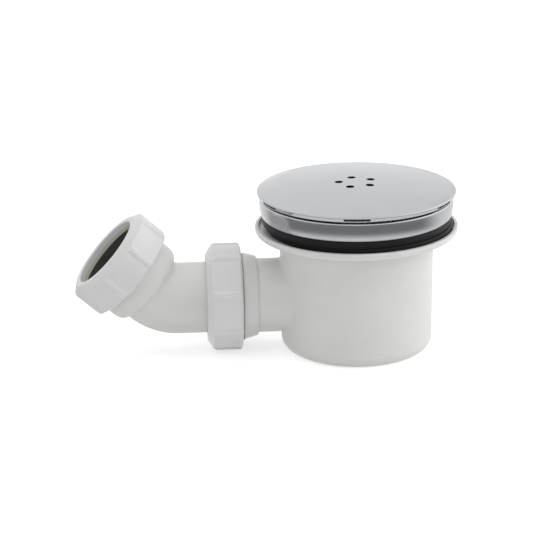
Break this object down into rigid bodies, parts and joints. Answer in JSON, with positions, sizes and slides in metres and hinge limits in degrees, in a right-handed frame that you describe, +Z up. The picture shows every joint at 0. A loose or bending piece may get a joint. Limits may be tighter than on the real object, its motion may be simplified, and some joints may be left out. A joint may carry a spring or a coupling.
{
  "type": "shower trap",
  "caption": "White plastic shower trap with a domed chrome cover, clamped tray seals and a side outlet with a swivelling compression elbow.",
  "frame": {"origin": "centre of the underside of the cup", "axes": "+Z up along the axis of the cup and the cover; the outlet leaves along -X"},
  "size_m": [0.2205, 0.1164, 0.098],
  "materials": {
    "white_plastic": "satin",
    "natural_plastic": "satin",
    "black_rubber": "matt",
    "chrome": "polished"
  },
  "bodies": {
    "trap": {"trap_body": "white_plastic", "lower_seal": "black_rubber", "upper_seal": "black_rubber", "waste_flange": "chrome", "insert": "white_plastic", "insert_o_ring": "black_rubber", "cover": "chrome", "cover_carrier": "white_plastic", "body_nut": "white_plastic", "body_slip_ring": "natural_plastic", "body_rubber": "black_rubber"},
    "elbow": {"elbow": "white_plastic", "outlet_nut": "white_plastic", "outlet_slip_ring": "natural_plastic", "outlet_rubber": "black_rubber"}
  },
  "joints": [
    {"name": "elbow_swivel", "type": "hinge", "parent": "trap", "child": "elbow", "pos_m": [-0.1119, 0, 0.0318], "axis": [1, 0, 0], "continuous": true}
  ]
}
